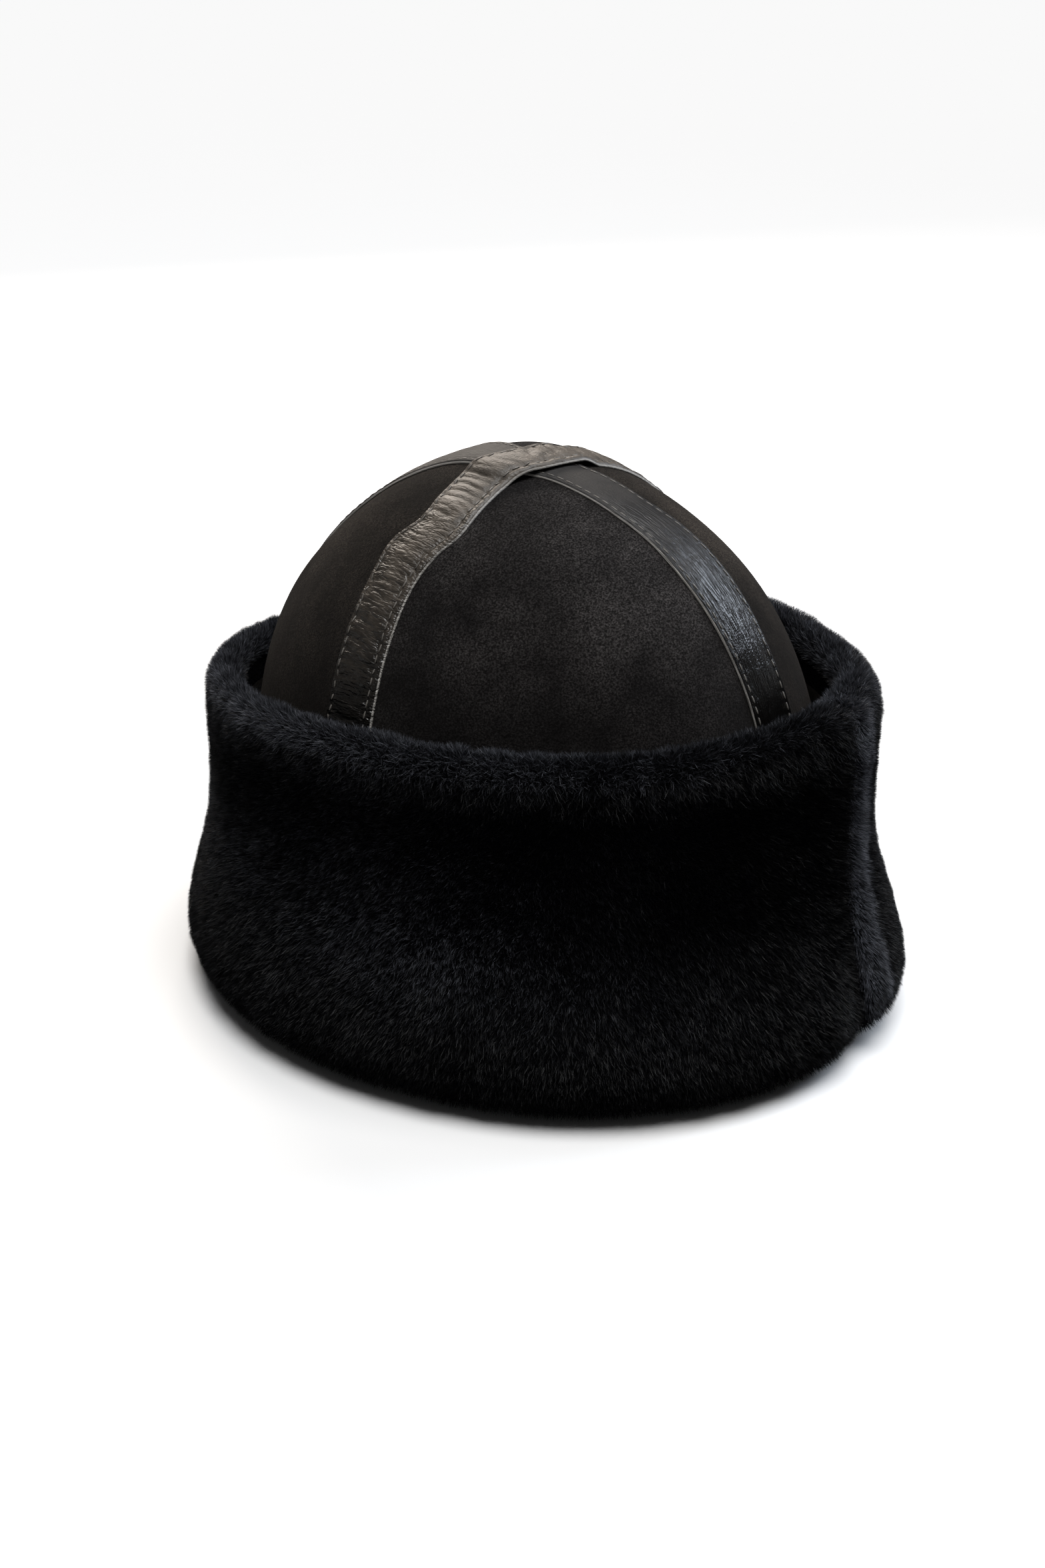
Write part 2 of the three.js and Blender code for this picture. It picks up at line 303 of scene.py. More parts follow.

# %% [markdown]
# The bands are thin glove leather, which shrinks and wrinkles crosswise when it is sewn. The large
# wrinkles are modelled, and the fine ones are a bump: noise that is stretched across the strip,
# with sharp furrows where it passes the middle grey. They are weakest over the top, where the
# strip is pulled smooth, and there the leather is duller. Light and shade are painted into the
# colour by height: paler high up, where the light falls on it, and nearly black low down, where
# the rim shades it; low down it is glossier too. The edges are painted paler as light lines,
# partly the raw edge of the leather and partly a painted highlight along the rounded hem. The
# pattern follows the strip by its own UV map, which runs from 0 to 1 across it and along it.

# %% Band leather
def make_leather(name, dull, lit, shine, roughness, furrow_counts, wrinkle_depth, raw_edge_and_highlight):
    leather = Finish(name, Specular_IOR_Level=shine)
    where = leather.place()
    strip = leather.node("UVMap")
    pores = {"Vector": where, "Scale": 1 / (0.8 * MM)}
    grain = leather.node("TexVoronoi", {"feature": "F1"}, pores)
    stain = leather.noise(where, 8 * MM, 4, 0.65)
    rub = leather.ramp(stain, (0.3, 0.0), (0.7, 1.0))
    furrows = [leather.furrows(strip, across, along) for across, along in furrow_counts]
    slack = 1 - 0.75 * leather.by_height(where, (180, 0.0), (194, 1.0))
    wrinkles = (furrows[0] * 0.5 + furrows[1]) * slack
    across = leather.split(strip, 0)
    right, left = raw_edge_and_highlight
    # The edges are painted pale: partly the paler raw edge of the leather, partly a painted
    # highlight along the rounded hem.
    edge_and_highlight = leather.ramp(across, (0.08, left), (0.09, 0.0), (0.91, 0.0), (0.92, right))
    # Painted light and shade by height: nearly black low down, where the rim shades the band, and
    # paler up high, where light falls on it.
    painted_light_by_height = leather.by_height(where, (120, 0.0), (144, 0.25), (176, 1.0))
    top = leather.by_height(where, (186, 0.0), (196, 1.0))
    rough = roughness["middle"] + top * roughness["top"] + (1 - painted_light_by_height) * roughness["foot"]
    stain_and_painted_shade = leather.mix(painted_light_by_height, (0.003, 0.0027, 0.0025, 1), leather.mix(rub, dull, lit))
    leather.set(
        Base_Color=leather.mix(edge_and_highlight, stain_and_painted_shade, (0.45, 0.43, 0.4, 1)),
        Roughness=rough + rub * 0.06 + edge_and_highlight * 0.2,
        Normal=leather.bump(wrinkles, wrinkle_depth, leather.bump(grain, 0.07 * MM)),
    )
    return leather.material


over_leather = make_leather(
    "over_band_leather",
    dull=(0.034, 0.028, 0.022, 1),
    lit=(0.115, 0.095, 0.076, 1),
    shine=0.6,
    roughness={"middle": 0.37, "top": 0.1, "foot": -0.14},
    furrow_counts=((3.0, 260), (4.0, 130)),
    wrinkle_depth=0.28 * MM,
    raw_edge_and_highlight=(1.0, 0.5),
)
under_leather = make_leather(
    "under_band_leather",
    dull=(0.012, 0.0108, 0.0104, 1),
    lit=(0.026, 0.023, 0.021, 1),
    shine=0.42,
    roughness={"middle": 0.34, "top": 0.25, "foot": -0.22},
    furrow_counts=((9, 14), (22, 30)),
    wrinkle_depth=0.2 * MM,
    raw_edge_and_highlight=(0, 0.85),
)
print("made", over_leather.name, "and", under_leather.name)

# %% [markdown]
# The thread is waxed and dark, flecked along its twist with painted highlights. Wool has two
# finishes. Where single hairs are modelled, each is a plain dark fibre with a soft gloss along it,
# paler and bluer towards the tip. What they grow from only shows between them, as deep shade. A
# hair's own map says how far along it a point lies, and how pale that hair is: on the cuff that
# paleness is painted light and shade, in the lining it differs at random.

# %% Thread and wool
def make_thread():
    thread = Finish("waxed_thread", Roughness=0.4, Specular_IOR_Level=0.5)
    twist_and_glints = thread.noise(thread.place(), 0.5 * MM, 2)
    # The pale colour along the twist is a painted highlight, for the light the waxed thread
    # catches.
    thread.set(Base_Color=thread.mix(twist_and_glints, (0.04, 0.036, 0.033, 1), (0.26, 0.24, 0.215, 1)))
    return thread.material


def make_wool(name, root, tip):
    wool = Finish(name, Roughness=0.45, Specular_IOR_Level=0.22)
    strand = wool.node("UVMap")
    tone, along = wool.split(strand, 0), wool.split(strand, 1)
    rise = wool.ramp(along, (0.1, 0.0), (0.9, 1.0))
    # On the cuff the first number of a hair's map is painted light and shade, in the lining a
    # random tone; it sets how near the pale tip colour the hair comes.
    wool.set(Base_Color=wool.mix(rise * tone, root, tip))
    return wool.material


def make_wool_root():
    root = Finish("wool_root", Roughness=1.0, Specular_IOR_Level=0.0)
    tufts = root.noise(root.place(), 2.5 * MM, 3, 0.7)
    root.set(
        Base_Color=root.mix(tufts, (0.002, 0.002, 0.0025, 1), (0.009, 0.009, 0.011, 1)),
        Normal=root.bump(tufts, 2 * MM),
    )
    return root.material


thread = make_thread()
cuff_wool = make_wool("sheared_wool", (0.0015, 0.0015, 0.002, 1), (0.164, 0.172, 0.2, 1))
lining_wool = make_wool("lining_wool", (0.005, 0.005, 0.006, 1), (0.05, 0.049, 0.052, 1))
wool_root = make_wool_root()
print("made", thread.name, cuff_wool.name, lining_wool.name, "and", wool_root.name)

# %% [markdown]
# The four suede panels together are an oval dome. It could be a squashed sphere, but its sides
# stand almost upright and its top is a little pointed, so its outline is drawn instead: one line
# from the foot to the top, turned once around the upright axis and stretched along the head. The
# width, length and height come from the frame. The outline's own roundness is two powers.

# %% The crown's outline
PANELS = [f"crown_panel_{end}_{side}" for end in ("front", "back") for side in ("left", "right")]
corners = [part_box(panel) for panel in PANELS]
crown_low = np.min([low for low, high in corners], axis=0)
crown_high = np.max([high for low, high in corners], axis=0)
half_width = (crown_high[0] - crown_low[0]) / 2
length_to_width = (crown_high[1] - crown_low[1]) / (crown_high[0] - crown_low[0])
crown_base, crown_top = crown_low[2], crown_high[2]

WIDEST_HEIGHT = 92 * MM
BASE_PINCH = 2.7 * MM
RISE_POWER, ROUND_POWER, LEAN_POWER = 1.8, 1 / 2.07, 1.5
CROWN_LEAN = np.array([3.5, 1.5]) * MM


def above_widest(height):
    return np.clip((height - WIDEST_HEIGHT) / (crown_top - WIDEST_HEIGHT), 0, 1)


def crown_radius(height):
    """Half the crown's width at a height."""
    dome = half_width * (1 - above_widest(height) ** RISE_POWER) ** ROUND_POWER
    below = np.clip(WIDEST_HEIGHT - height, 0, None) / (WIDEST_HEIGHT - crown_base)
    return dome - BASE_PINCH * below**2


def crown_lean(height):
    """How far the crown leans over at a height, across the head and along it."""
    return CROWN_LEAN * above_widest(height)[..., None] ** LEAN_POWER


print(f"crown {2000 * half_width:.0f} mm wide, length to width {length_to_width:.3f}")

# %% [markdown]
# The panels are soft, so the dome isn't perfectly even: there are slow swells as wide as a hand.
# It is also pushed out a little beyond the crossing of the seams, and in on one shoulder. The
# same sum is used for the bands, so that they lie on the suede everywhere.

# %% The seams and the give of the skin
SEAM_CROSSING = np.array([8.1, 7.7]) * MM
OVER_TURN, UNDER_TURN = math.radians(-9), math.radians(94)
SWELL, SWELL_SIZE = 1.2 * MM, 46 * MM
PUSHES = table("""
       x     y     z   out  size
     -12    -4   200   3.6    26
     -45    62   152  -1.8    34
""")


def turned(points, turn):
    """Points of the flat plan, turned round its origin."""
    cos, sin = math.cos(turn), math.sin(turn)
    x, y = points[..., 0], points[..., 1]
    return np.stack([x * cos - y * sin, x * sin + y * cos], axis=-1)


def crown_give(points):
    """How far the soft crown stands out from its outline, or in where it is less than nothing."""
    give = SWELL * noise_at(points, SWELL_SIZE, 3.1)
    for x, y, z, out, size in zip(*PUSHES.values()):
        away = np.linalg.norm(points / MM - (x, y, z), axis=1) / size
        give += out * MM * np.exp(-(away**2))
    return give


# %% [markdown]
# The outline is drawn as by hand: a plane is merged to a single point, and that point is extruded
# from place to place. Spin turns the line around the axis, and the doubled points at the seam and
# the top are merged before the normals are made to face outwards.

# %% Draw, spin and lean the dome
SIDE_ROWS, DOME_ROWS, AROUND = 14, 44, 208


def draw_line(name, points):
    """A line from point to point, as a piece of its own."""
    bpy.ops.mesh.primitive_plane_add(size=MM, location=points[0])
    piece = bpy.context.object
    piece.name = name
    with Editing(piece):
        bpy.ops.mesh.select_all(action="SELECT")
        bpy.ops.mesh.merge(type="CENTER")
        for step in np.diff(points, axis=0):
            bpy.ops.mesh.extrude_region_move(TRANSFORM_OT_translate={"value": step})
    bpy.ops.object.transform_apply(location=True, rotation=False, scale=False)
    return piece


def spin(piece, angle, steps):
    with Editing(piece):
        bpy.ops.mesh.select_all(action="SELECT")
        bpy.ops.mesh.spin(steps=steps, angle=angle, center=(0, 0, 0), axis=(0, 0, -1))
        bpy.ops.mesh.select_all(action="SELECT")
        bpy.ops.mesh.remove_doubles(threshold=0.02 * MM)


def make_dome():
    side = np.linspace(crown_base, WIDEST_HEIGHT, SIDE_ROWS)
    up = np.sin(np.linspace(0, 1, DOME_ROWS)[1:] * math.pi / 2)
    heights = np.append(side, WIDEST_HEIGHT + (crown_top - WIDEST_HEIGHT) * up)
    outline = np.stack([crown_radius(heights), 0 * heights, heights], axis=1)
    dome = draw_line("dome", outline)
    spin(dome, 2 * math.pi, AROUND)
    with Editing(dome):
        bpy.ops.mesh.select_all(action="SELECT")
        stretch = (1, length_to_width, 1)
        bpy.ops.transform.resize(value=stretch, center_override=(0, 0, 0))
        bpy.ops.mesh.normals_make_consistent(inside=False)
    points = points_of(dome)
    points[:, :2] += crown_lean(points[:, 2])
    set_points(dome, points)
    points += normals_of(dome) * crown_give(points)[:, None]
    set_points(dome, points)
    return dome


dome = make_dome()
print("dome of", len(dome.data.polygons), "faces")

# %% [markdown]
# Each panel is a quarter of the dome. A copy is bisected along the two seams that bound it, and
# only the part between them is kept. Solidify then gives it the thickness of a sheepskin, inwards,
# and puts the second material, the wool, on the inner side. The last two millimetres are left to
# the tips of the wool, which are made as hairs further on.

# %% Cut the four panels
SEAM_GAP = 0.2 * MM
SKIN_THICKNESS, LINING_TIPS = 8 * MM, 2 * MM
HALF_TURN = math.pi


def add_material(piece, *materials):
    piece.data.materials.clear()
    for material in materials:
        piece.data.materials.append(material)


def take_place(piece, node):
    """Ties a finished piece to the frame: it rides on the root, and the CAD part it stands for is
    hidden.
    """
    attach(piece, "root")
    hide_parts(node)
    print(f"{piece.name}: {triangles_in(piece)} triangles")


def cut_along_seam(turn, side):
    """Keeps what lies on one side of a seam, 1 for its left and -1 for its right."""
    across = np.array([-math.sin(turn), math.cos(turn)]) * side
    start = SEAM_CROSSING + across * SEAM_GAP
    bpy.ops.mesh.select_all(action="SELECT")
    bpy.ops.mesh.bisect(plane_co=(*start, 0), plane_no=(*across, 0), clear_inner=True)


def make_panel(name, from_turn, to_turn, suede):
    panel = bpy.data.objects.new(name + "_suede", dome.data.copy())
    bpy.context.scene.collection.objects.link(panel)
    with Editing(panel):
        cut_along_seam(from_turn, 1)
        cut_along_seam(to_turn, -1)
    add_material(panel, suede, wool_root)
    apply_modifier(
        panel,
        "SOLIDIFY",
        thickness=SKIN_THICKNESS - LINING_TIPS,
        offset=-1,
        use_even_offset=True,
        material_offset=1,
    )
    bpy.ops.object.shade_smooth_by_angle(angle=math.radians(50))
    take_place(panel, name)


PANEL_CUTS = {
    "crown_panel_back_left": (OVER_TURN, UNDER_TURN, black_suede),
    "crown_panel_back_right": (UNDER_TURN, OVER_TURN + HALF_TURN, brown_suede),
    "crown_panel_front_right": (OVER_TURN + HALF_TURN, UNDER_TURN + HALF_TURN, black_suede),
    "crown_panel_front_left": (UNDER_TURN + HALF_TURN, OVER_TURN, brown_suede),
}
for panel_name, cuts in PANEL_CUTS.items():
    make_panel(panel_name, *cuts)

# %% [markdown]
# The bands waver as they were sewn, and are narrower at the crossing than at the foot. Each table
# says, seen from above, how far along its seam a row is, how far the band has strayed to the left
# there, and its width. A line of the band is followed over the dome by asking at what height the
# dome passes each point of the plan. Near the foot the wall is upright, so there it is asked the
# other way round: where along the line each height is met.

# %% Where the bands run
OVER_BAND = table("""
    along  stray  width
     -134   -5.0   23.0
      -88   -5.0   23.0
      -60   -2.0   22.0
      -34    3.3   20.0
      -18    5.7   18.0
       -6    6.2   17.0
        4    3.7   18.5
       16   -2.2   21.5
       29   -1.5   21.5
       42   -0.2   21.0
       51   -4.6   23.0
       61   -5.5   21.3
       74   -4.9   22.0
       84   -4.5   22.5
      126   -4.8   23.0
""")
UNDER_BAND = table("""
    along  stray  width
     -136    3.0   24.0
      -90    3.0   24.0
      -56    4.0   23.0
      -34    4.5   21.5
      -16    0.5   19.0
       -4   -3.0   18.0
       14   -1.3   17.0
       28   -0.7   18.6
       42   -0.8   19.2
       54    1.0   22.0
       66    2.3   24.6
       78    2.7   24.5
       90    2.0   23.0
      124    1.0   23.0
""")
BAND_FOOT = 41.2 * MM
FOLLOWED, FOOT_POINTS, OVERLAP = 1500, 40, 20
HALVINGS = 30


def plan_line(rows, turn, across):
    """One line of a band seen from above, at a share of its half width from the middle."""
    at = np.linspace(0, len(rows["along"]) - 1, FOLLOWED)
    off = spline(rows["stray"], at) + across * spline(rows["width"], at) / 2
    flat = np.stack([spline(rows["along"], at), off], axis=-1) * MM
    return turned(flat, turn) + SEAM_CROSSING


def dome_height(flat):
    """The height at which the dome passes points of the plan, found by halving."""
    low = np.full(len(flat), WIDEST_HEIGHT)
    high = np.full(len(flat), crown_top)
    for _ in range(HALVINGS):
        middle = (low + high) / 2
        from_axis = (flat - crown_lean(middle)) / (1, length_to_width)
        inside = np.hypot(*from_axis.T) < crown_radius(middle)
        low, high = np.where(inside, middle, low), np.where(inside, high, middle)
    return low


def over_the_dome(flat):
    """A plan line lifted on to the crown, from one foot to the other."""
    oval = np.hypot(flat[:, 0], flat[:, 1] / length_to_width)
    on_dome = np.flatnonzero(oval < half_width)
    top = flat[on_dome]
    line = np.column_stack([top, dome_height(top)])
    heights = np.linspace(BAND_FOOT, WIDEST_HEIGHT, FOOT_POINTS)
    radii = crown_radius(heights)
    near = np.arange(on_dome[0] + OVERLAP)
    far = np.arange(on_dome[-1] - OVERLAP, len(flat))
    ends = []
    for part in (near[::-1], far):
        met = np.interp(radii, oval[part], part)
        x, y = (np.interp(met, np.arange(len(flat)), flat[:, i]) for i in (0, 1))
        ends.append(np.column_stack([x, y, heights]))
    return np.vstack([ends[0], line[1:-1], ends[1][::-1]])


def evenly(line, count):
    """The same line with its points an even step apart."""
    steps = np.linalg.norm(np.diff(line, axis=0), axis=1)
    run = np.append(0, np.cumsum(steps))
    wanted = np.linspace(0, run[-1], count)
    return np.column_stack([np.interp(wanted, run, line[:, i]) for i in range(3)]), run[-1]


# %% [markdown]
# A band is a flat strip to begin with, a grid that is many faces long and a few wide. Its points
# are laid along the lines above, closer together towards the edges, where the leather is turned
# under and rounds over in a millimetre. Then it is raised off the suede: least at its edges, more
# at the folded hem, with a groove where the thread pulls it down. Creases run across the strip,
# and are deeper towards its foot. Solidify closes the strip underneath.

# %% The strip and its creases
BAND_COLUMNS = 25
STRIP = {"height": 1.0 * MM, "edge_height": 0.15 * MM, "round": 1.1 * MM, "under": 0.9 * MM}
PILLOW = 0.7 * MM
HEM = {"rise": 0.4 * MM, "in": 1.5 * MM, "reach": 1.1 * MM}
GROOVE = {"depth": 0.45 * MM, "reach": 0.6 * MM}
OVER_GROOVE = {"left": 3.4 * MM, "right": 2.0 * MM}
UNDER_GROOVE = {"left": 2.2 * MM, "right": 2.0 * MM}
CROSSING = {"lift": 2.6 * MM, "run_out": 10 * MM, "lowest": 152 * MM}
GATHERED = {"more": 1.0, "full": 120 * MM, "none": 165 * MM}
CREASE_IN = 2 * MM
CREASE_BEND = {"size": 12 * MM, "by": 2.2 * MM}
CREASE_PATCH = 20 * MM


def furrowed(flat, size, stretch, shift=0.0):
    """From 0 in a furrow to 1 on the rounded swells between, drawn out across the strip."""
    level = np.abs(noise_at(flat * (1, stretch, 1), size, shift))
    return np.clip(4 * level, 0, 1) ** 0.7


def creases(run, across, depth, size):
    """Wrinkles across a strip: rounded swells with narrow furrows between them."""
    flat = np.column_stack([run, across * 10 * MM, 0 * run])
    bent = flat + drift_at(flat, CREASE_BEND["size"], 5.0) * CREASE_BEND["by"]
    furrows = furrowed(bent, size, 0.2) * 0.4 + furrowed(bent, 2.3 * size, 0.16, 8.0) * 0.6
    patches = noise_at(flat * (1, 0.3, 1), CREASE_PATCH, 2.0)
    strength = 0.5 + 0.5 * smoothstep(patches, -0.3, 0.2)
    return depth * strength * (furrows - 0.8)


def over_another(points, rows, turn):
    """From 0 to 1, how fully each point lies over another band."""
    flat = turned(points[:, :2] - SEAM_CROSSING, -turn) / MM
    at = np.interp(flat[:, 0], rows["along"], np.arange(len(rows["along"])))
    outside = np.abs(flat[:, 1] - spline(rows["stray"], at)) - spline(rows["width"], at) / 2
    on_top = points[:, 2] > CROSSING["lowest"]
    return on_top * (1 - smoothstep(outside * MM, 0, CROSSING["run_out"]))


def make_band(name, node, rows, turn, material, row_count, crease, groove_in, passes_over=None):
    across = np.sin(np.linspace(-1, 1, BAND_COLUMNS) * math.pi / 2)
    lines = [evenly(over_the_dome(plan_line(rows, turn, share)), row_count) for share in across]
    points = np.stack([line for line, length in lines], axis=1)
    length = np.mean([length for line, length in lines])
    bpy.ops.mesh.primitive_grid_add(x_subdivisions=BAND_COLUMNS - 1, y_subdivisions=row_count - 1)
    band = bpy.context.object
    band.name = name
    flat = points.reshape(-1, 3)
    set_points(band, flat)
    out = normals_of(band)
    out *= np.sign(np.sum(out * (flat - (0, 0, WIDEST_HEIGHT)), axis=1))[:, None]
    run = np.repeat(np.linspace(0, length, row_count), BAND_COLUMNS)
    share = np.tile(across, row_count)
    half = np.linalg.norm(points[:, -1] - points[:, 0], axis=1).repeat(BAND_COLUMNS) / 2
    edge = (1 - np.abs(share)) * half
    rounded = np.sqrt(1 - (1 - np.clip(edge / STRIP["round"], 0, 1)) ** 2)
    lift = STRIP["edge_height"] + (STRIP["height"] - STRIP["edge_height"]) * rounded
    lift += HEM["rise"] * np.exp(-(((edge - HEM["in"]) / HEM["reach"]) ** 2)) * rounded
    lift += PILLOW * (1 - share**2)
    pulled = edge - np.where(share > 0, groove_in["left"], groove_in["right"])
    lift -= GROOVE["depth"] * np.exp(-((pulled / GROOVE["reach"]) ** 2))
    low_down = 1 - smoothstep(flat[:, 2], GATHERED["full"], GATHERED["none"])
    wrinkled = (1 + GATHERED["more"] * low_down) * smoothstep(edge, 0, CREASE_IN)
    lift += creases(run, share, crease["depth"], crease["size"]) * wrinkled
    if passes_over:
        lift += CROSSING["lift"] * over_another(flat, *passes_over)
    flat = flat + out * (lift + crown_give(flat))[:, None]
    set_points(band, flat)
    surface = flat.reshape(row_count, BAND_COLUMNS, 3)
    with Editing(band):
        bpy.ops.mesh.select_all(action="SELECT")
        bpy.ops.mesh.normals_make_consistent(inside=False)
    if np.sum(normals_of(band) * out) < 0:
        with Editing(band):
            bpy.ops.mesh.select_all(action="SELECT")
            bpy.ops.mesh.flip_normals()
    apply_modifier(band, "SOLIDIFY", thickness=STRIP["under"], offset=-1)
    bpy.ops.object.shade_smooth()
    add_material(band, material)
    take_place(band, node)
    print(f"{name}: {length / MM:.0f} mm long")
    return {"surface": surface, "across": across, "half": half[::BAND_COLUMNS], "length": length}


under_band = make_band(
    "under_band_strip", "seam_band_under", UNDER_BAND, UNDER_TURN, under_leather,
    row_count=340,
    crease={"depth": 0.2 * MM, "size": 4.5 * MM},
    groove_in=UNDER_GROOVE,
)
over_band = make_band(
    "over_band_strip", "seam_band_over", OVER_BAND, OVER_TURN, over_leather,
    row_count=820,
    crease={"depth": 0.85 * MM, "size": 3.4 * MM},
    groove_in=OVER_GROOVE,
    passes_over=(UNDER_BAND, UNDER_TURN),
)

# %% [markdown]
# Each stitch is a short length of thread that dips into the leather at both ends. One stitch is
# modelled from a small sphere, stretched and flattened. All the stitches of a band are copies of
# it in one mesh, set along the grooves at the pitch of the machine and turned to the run of the
# band, so that they cost little.

# %% Stitches
STITCH = {"length": 3.0 * MM, "thick": 0.7 * MM, "flat": 0.8, "pitch": 3.9 * MM}
STITCH_PROUD, STITCHED_FROM_END = 0.06 * MM, 4 * MM
LEFT, RIGHT = 1, -1


def make_stitch():
    bpy.ops.mesh.primitive_uv_sphere_add(segments=7, ring_count=5, radius=0.5)
    stitch = bpy.context.object
    with Editing(stitch):
        bpy.ops.mesh.select_all(action="SELECT")
        size = (STITCH["thick"], STITCH["thick"] * STITCH["flat"], STITCH["length"])
        bpy.ops.transform.resize(value=size, center_override=(0, 0, 0))
    points = points_of(stitch)
    faces = [tuple(face.vertices) for face in stitch.data.polygons]
    bpy.data.objects.remove(stitch)
    return points, faces


def stitch_row(band, side, inside, start):
    """Places and directions along one row, a distance in from the band's left or right edge."""
    runs = np.arange(start, band["length"] - STITCHED_FROM_END, STITCH["pitch"])
    rows = runs / band["length"] * (len(band["surface"]) - 1)
    low = np.floor(rows).astype(int)
    columns = np.arange(BAND_COLUMNS)
    places = []
    for row in (low, low + 1):
        share = side * (1 - inside / band["half"][row])
        at = np.array([np.interp(x, band["across"], columns) for x in share])
        left = np.floor(at).astype(int)
        way = (at - left)[:, None]
        surface = band["surface"]
        places.append(surface[row, left] * (1 - way) + surface[row, left + 1] * way)
    way = (rows - low)[:, None]
    ahead = places[1] - places[0]
    return places[0] * (1 - way) + places[1] * way, ahead


def make_stitches(name, node, band, groove_in, left_start):
    points, faces = make_stitch()
    all_points, all_faces = [], []
    rows = ((LEFT, groove_in["left"], left_start), (RIGHT, groove_in["right"], STITCHED_FROM_END))
    for side, inside, start in rows:
        places, ahead = stitch_row(band, side, inside, start)
        for place, direction in zip(places, ahead):
            along = Vector(direction).normalized()
            out = Vector(place - (0, 0, WIDEST_HEIGHT)).normalized()
            sideways = along.cross(out).normalized()
            out = sideways.cross(along)
            turn = np.array([sideways, out, along]).T
            spot = place + np.array(out) * STITCH_PROUD
            all_faces += [tuple(i + len(all_points) for i in face) for face in faces]
            all_points += (points @ turn.T + spot).tolist()
    mesh = bpy.data.meshes.new(name)
    mesh.from_pydata(all_points, [], all_faces)
    stitches = bpy.data.objects.new(name, mesh)
    bpy.context.scene.collection.objects.link(stitches)
    make_active(stitches)
    bpy.ops.object.shade_smooth()
    add_material(stitches, thread)
    take_place(stitches, node)


make_stitches("over_band_stitches", "seam_band_over", over_band, OVER_GROOVE, 6 * MM)
make_stitches("under_band_stitches", "seam_band_under", under_band, UNDER_GROOVE, 5 * MM)

# %% [markdown]
# The cuff is one strip of sheepskin. It is sewn inside the panels, folds at the ground, and is
# turned up on the outside as far as its rounded rim. The table follows the wool side from the
# head hollow round the fold and up the outside, with the skin side opposite: half widths and
# heights in millimetres, and how much longer than wide the half oval is. The rim is half a circle.

# %% The cuff's section
CUFF_WALL = table("""
    wide   high  skin_wide  skin_high  longer
    83.4   38.0       91.2       38.0    15.4
    83.2   27.0       91.3       29.0    15.4
    83.9   15.0       91.8       22.0    15.6
    87.2    5.0       93.4       18.2    16.5
    94.0    0.0       96.6       16.6    17.5
   112.0    0.0      101.4       17.2    19.5
   120.8    5.0      104.8       19.8    20.6
   124.9   15.6      107.2       25.0    21.0
   124.2   25.5      108.0       32.0    21.0
   120.8   38.0      106.8       42.0    21.0
   116.5   52.0      104.6       54.0    21.0
   113.4   66.0      102.4       66.0    21.0
   112.7   80.0      101.0       80.0    21.0
   113.3   96.0      100.0       94.0    20.6
   114.2  108.0       97.4      106.0    20.2
""")
for size in ("wide", "high"):
    CUFF_WALL["middle_" + size] = (CUFF_WALL[size] + CUFF_WALL["skin_" + size]) / 2
RIM = {"inner": 95.4, "outer": 113.8, "high": 116.0, "top": 127.4, "longer": 20.0}
RIM_STEPS, SECTION_STEPS = 9, 160
SIDES = ("wide", "high", "middle_wide", "middle_high", "longer")


def wool_side():
    """The wool side and the middle of the wall behind it, smoothed, from the leg to the rim."""
    arc = np.linspace(0, math.pi, RIM_STEPS)
    middle = (RIM["inner"] + RIM["outer"]) / 2
    radius = (RIM["outer"] - RIM["inner"]) / 2
    rim = [
        middle + radius * np.cos(arc),
        RIM["high"] + (RIM["top"] - RIM["high"]) * np.sin(arc),
        np.full(RIM_STEPS, middle),
        np.full(RIM_STEPS, RIM["high"]),
        np.full(RIM_STEPS, RIM["longer"]),
    ]
    at = np.linspace(0, len(CUFF_WALL["wide"]) + RIM_STEPS - 1, SECTION_STEPS)
    rows = {name: spline(np.append(CUFF_WALL[name], end), at) for name, end in zip(SIDES, rim)}
    rows["high"] = np.maximum(rows["high"], 0)
    steps = np.hypot(np.diff(rows["wide"]), np.diff(rows["high"]))
    rows["run"] = np.append(0, np.cumsum(steps))
    return rows


wool = wool_side()
print(f"the cuff's wool side is {wool['run'][-1]:.0f} mm from the leg over the fold to the rim")

# %% [markdown]
# Round the head the cuff isn't even: the rim rises and sinks, the foot bulges, and one end stands
# a little proud of the other at the slit. A second table gives this for eight directions. The
# function below takes any point of the flat section to its place round the head.

# %% Round the head
WAVER = table("""
    around  rim_rise  rim_out  foot_out
         0       2.4      0.0       1.8
        45       1.5      0.0       4.0
        90       4.0      0.0       3.0
       135      -1.0      0.0      -1.0
       180       2.0      0.5       1.8
       225       0.0      0.0       4.0
       270      -6.5     -6.0       3.0
       315      -2.8     -2.7       0.0
       360       2.4      0.0       1.8
""")
SLIT_ANGLE, SLIT_HALF_GAP = math.radians(92.4), 0.5
ENDS = table("""
    round  thinnest  proud  foot_proud  proud_reach  foot_lift  foot_reach
        8      0.50    3.5         0.0           26          3          18
        3      0.85    2.5        -4.5           22          0           1
""")
RIM_ZONE, FOOT_ZONE, UPPER_ZONE = (60, 120), (18, 60), (28, 62)
BULGE_ZONE = (100, 113)
FULL_TURN = 2 * math.pi


def waver(column, angle):
    """One column of the table at any angle round the head, eased from row to row."""
    degrees = np.degrees(angle) % 360
    row = np.searchsorted(WAVER["around"], degrees, side="right") - 1
    way = (degrees - WAVER["around"][row]) / (WAVER["around"][row + 1] - WAVER["around"][row])
    start, end = WAVER[column][row], WAVER[column][row + 1]
    return start + (end - start) * smoothstep(way, 0, 1)


def from_end(turn):
    """How far round the head a place is from the nearer end of the cuff, in millimetres."""
    return np.minimum(turn, FULL_TURN - turn) * RIM["outer"] - SLIT_HALF_GAP


